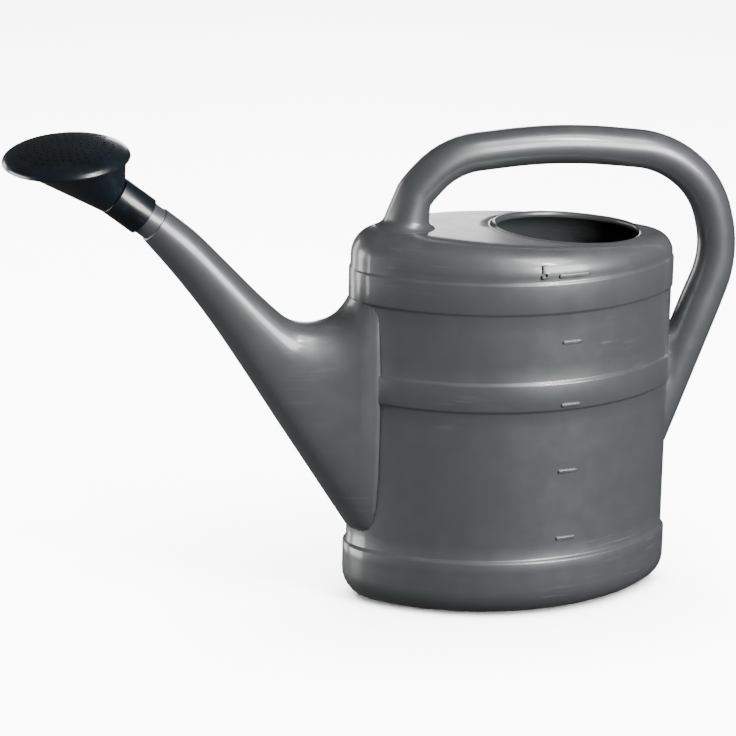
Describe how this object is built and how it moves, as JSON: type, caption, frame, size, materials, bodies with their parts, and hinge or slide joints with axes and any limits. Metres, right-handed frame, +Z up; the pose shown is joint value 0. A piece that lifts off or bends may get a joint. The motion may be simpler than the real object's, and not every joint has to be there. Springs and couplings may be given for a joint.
{
  "type": "watering can",
  "caption": "Oval five-litre garden watering can with a loop handle, a long tapering spout and a turning push-on rose.",
  "frame": {"origin": "centre of the tank's foot, on the ground it stands on", "axes": "+Z up, -X towards the spout, +X towards the back of the handle, +Y across the can to its far side as the litre marks face -Y"},
  "size_m": [0.4991, 0.1352, 0.3228],
  "materials": {
    "can": "anthracite grey blow-moulded polyethylene, semi-gloss",
    "rose": "near-black injection-moulded plastic",
    "rose_face": "near-black injection-moulded plastic, perforated"
  },
  "bodies": {
    "can": {"tank_base": "can", "tank_wall": "can", "tank_top": "can", "handle": "can", "spout": "can", "spout_neck": "can"},
    "rose_sleeve": {"rose_sleeve": "rose"},
    "rose_head": {"rose_funnel": "rose", "rose_face": "rose_face"}
  },
  "joints": [
    {"name": "rose_pull", "type": "slide", "parent": "can", "child": "rose_sleeve", "axis": [-0.788, 0, 0.6157], "range_m": [0, 0.04]},
    {"name": "rose_turn", "type": "hinge", "parent": "rose_sleeve", "child": "rose_head", "pos_m": [-0.2698, 0, 0.28637], "axis": [-0.788, 0, 0.6157], "continuous": true}
  ]
}
